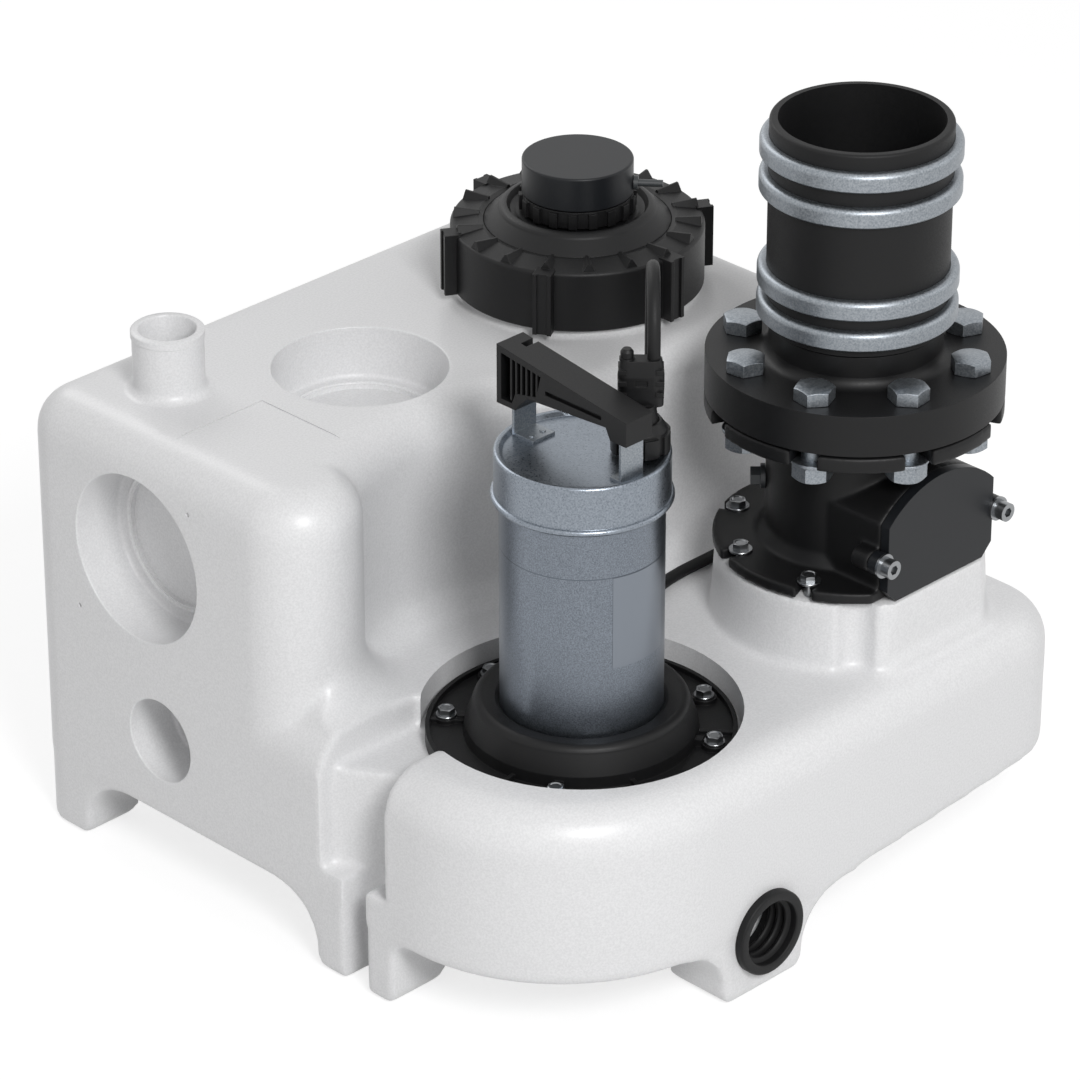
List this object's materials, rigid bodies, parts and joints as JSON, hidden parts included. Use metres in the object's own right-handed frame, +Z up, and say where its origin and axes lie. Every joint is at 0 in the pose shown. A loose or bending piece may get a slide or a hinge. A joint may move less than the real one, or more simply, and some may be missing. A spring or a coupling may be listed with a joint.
{
  "type": "sewage lifting station",
  "caption": "Compact sewage lifting station: moulded tank on feet, submersible pump, check valve with cleaning cover, flanged hose outlet and screw cap with level sensor.",
  "frame": {"origin": "bottom centre of the station's box, on the floor, cable left out", "axes": "+X to the right along the front face, +Y to the back, +Z up"},
  "size_m": [0.6646, 0.522, 0.536],
  "materials": {
    "polyethylene": "rotomoulded polyethylene, satin, natural light grey",
    "black_plastic": "glass-filled moulded plastic, black",
    "grip_plastic": "moulded grip, black",
    "cover_plastic": "smooth moulded plastic, dark grey",
    "rubber": "EPDM, black",
    "stainless": "stainless sheet and fasteners, satin",
    "satin_cap": "drawn stainless cap, bead blasted",
    "zinc_plate": "bright zinc plate",
    "cast_alloy": "cast aluminium",
    "bearing_steel": "ground steel",
    "winding": "enamelled copper winding and laminations",
    "grey_plastic": "moulded plastic, grey"
  },
  "bodies": {
    "base": {"tank": "polyethylene", "drain_sleeve": "rubber", "pump_housing": "black_plastic", "outlet_pipe": "black_plastic", "outlet_seal": "rubber", "inlet_grommet": "rubber", "pump_flange": "black_plastic", "pump_flange_seal": "rubber", "pump_screws": "stainless", "pump_washers": "stainless", "motor_casing": "stainless", "motor_cap": "satin_cap", "lower_bearing_plate": "cast_alloy", "upper_bearing_plate": "cast_alloy", "lower_bearing": "bearing_steel", "upper_bearing": "bearing_steel", "stator": "winding", "shaft_seal": "bearing_steel", "handle_grip": "grip_plastic", "handle_brackets": "zinc_plate", "cable_plug": "black_plastic", "blanking_plug": "black_plastic", "power_cable": "rubber", "cable_coil": "rubber", "mains_plug": "black_plastic", "valve_gasket": "rubber", "valve_body": "black_plastic", "flap_pin": "stainless", "valve_cover": "cover_plastic", "cover_gasket": "rubber", "cover_screws": "stainless", "cover_washers": "stainless", "valve_screws": "stainless", "valve_washers": "stainless", "vent_screw": "grey_plastic", "flange_gasket": "rubber", "adapter_flange": "black_plastic", "flange_bolts": "zinc_plate", "bolt_washers": "zinc_plate", "flange_nuts": "zinc_plate", "discharge_hose": "rubber", "hose_clamps": "zinc_plate", "clamp_screws": "zinc_plate", "cap_insert": "black_plastic", "cap_seal": "rubber", "level_pipe": "black_plastic", "sensor_cover": "cover_plastic", "hose_nipples": "grey_plastic"},
    "rotor": {"rotor_core": "bearing_steel", "rotor_shaft": "stainless", "impeller": "black_plastic", "impeller_nut": "stainless"},
    "flap": {"valve_flap": "rubber"},
    "ring": {"cap_ring": "black_plastic"},
    "sensor_lock": {"sensor_ring": "black_plastic"},
    "collar": {"plug_collar": "black_plastic"}
  },
  "joints": [
    {"name": "pump_spin", "type": "hinge", "parent": "base", "child": "rotor", "pos_m": [-0.095, -0.12, 0.2], "axis": [0, 0, 1], "continuous": true},
    {"name": "flap_swing", "type": "hinge", "parent": "base", "child": "flap", "pos_m": [0.13, -0.202, 0.2515], "axis": [1, 0, 0], "range_deg": [0, 55]},
    {"name": "ring_turn", "type": "hinge", "parent": "base", "child": "ring", "pos_m": [0.125, 0.102, 0.36], "axis": [0, 0, 1], "range_deg": [0, 180]},
    {"name": "sensor_turn", "type": "hinge", "parent": "base", "child": "sensor_lock", "pos_m": [0.125, 0.102, 0.398], "axis": [0, 0, 1], "range_deg": [0, 45]},
    {"name": "collar_turn", "type": "hinge", "parent": "base", "child": "collar", "pos_m": [-0.06884, -0.14616, 0.372], "axis": [0, 0, 1], "range_deg": [0, 120]}
  ]
}
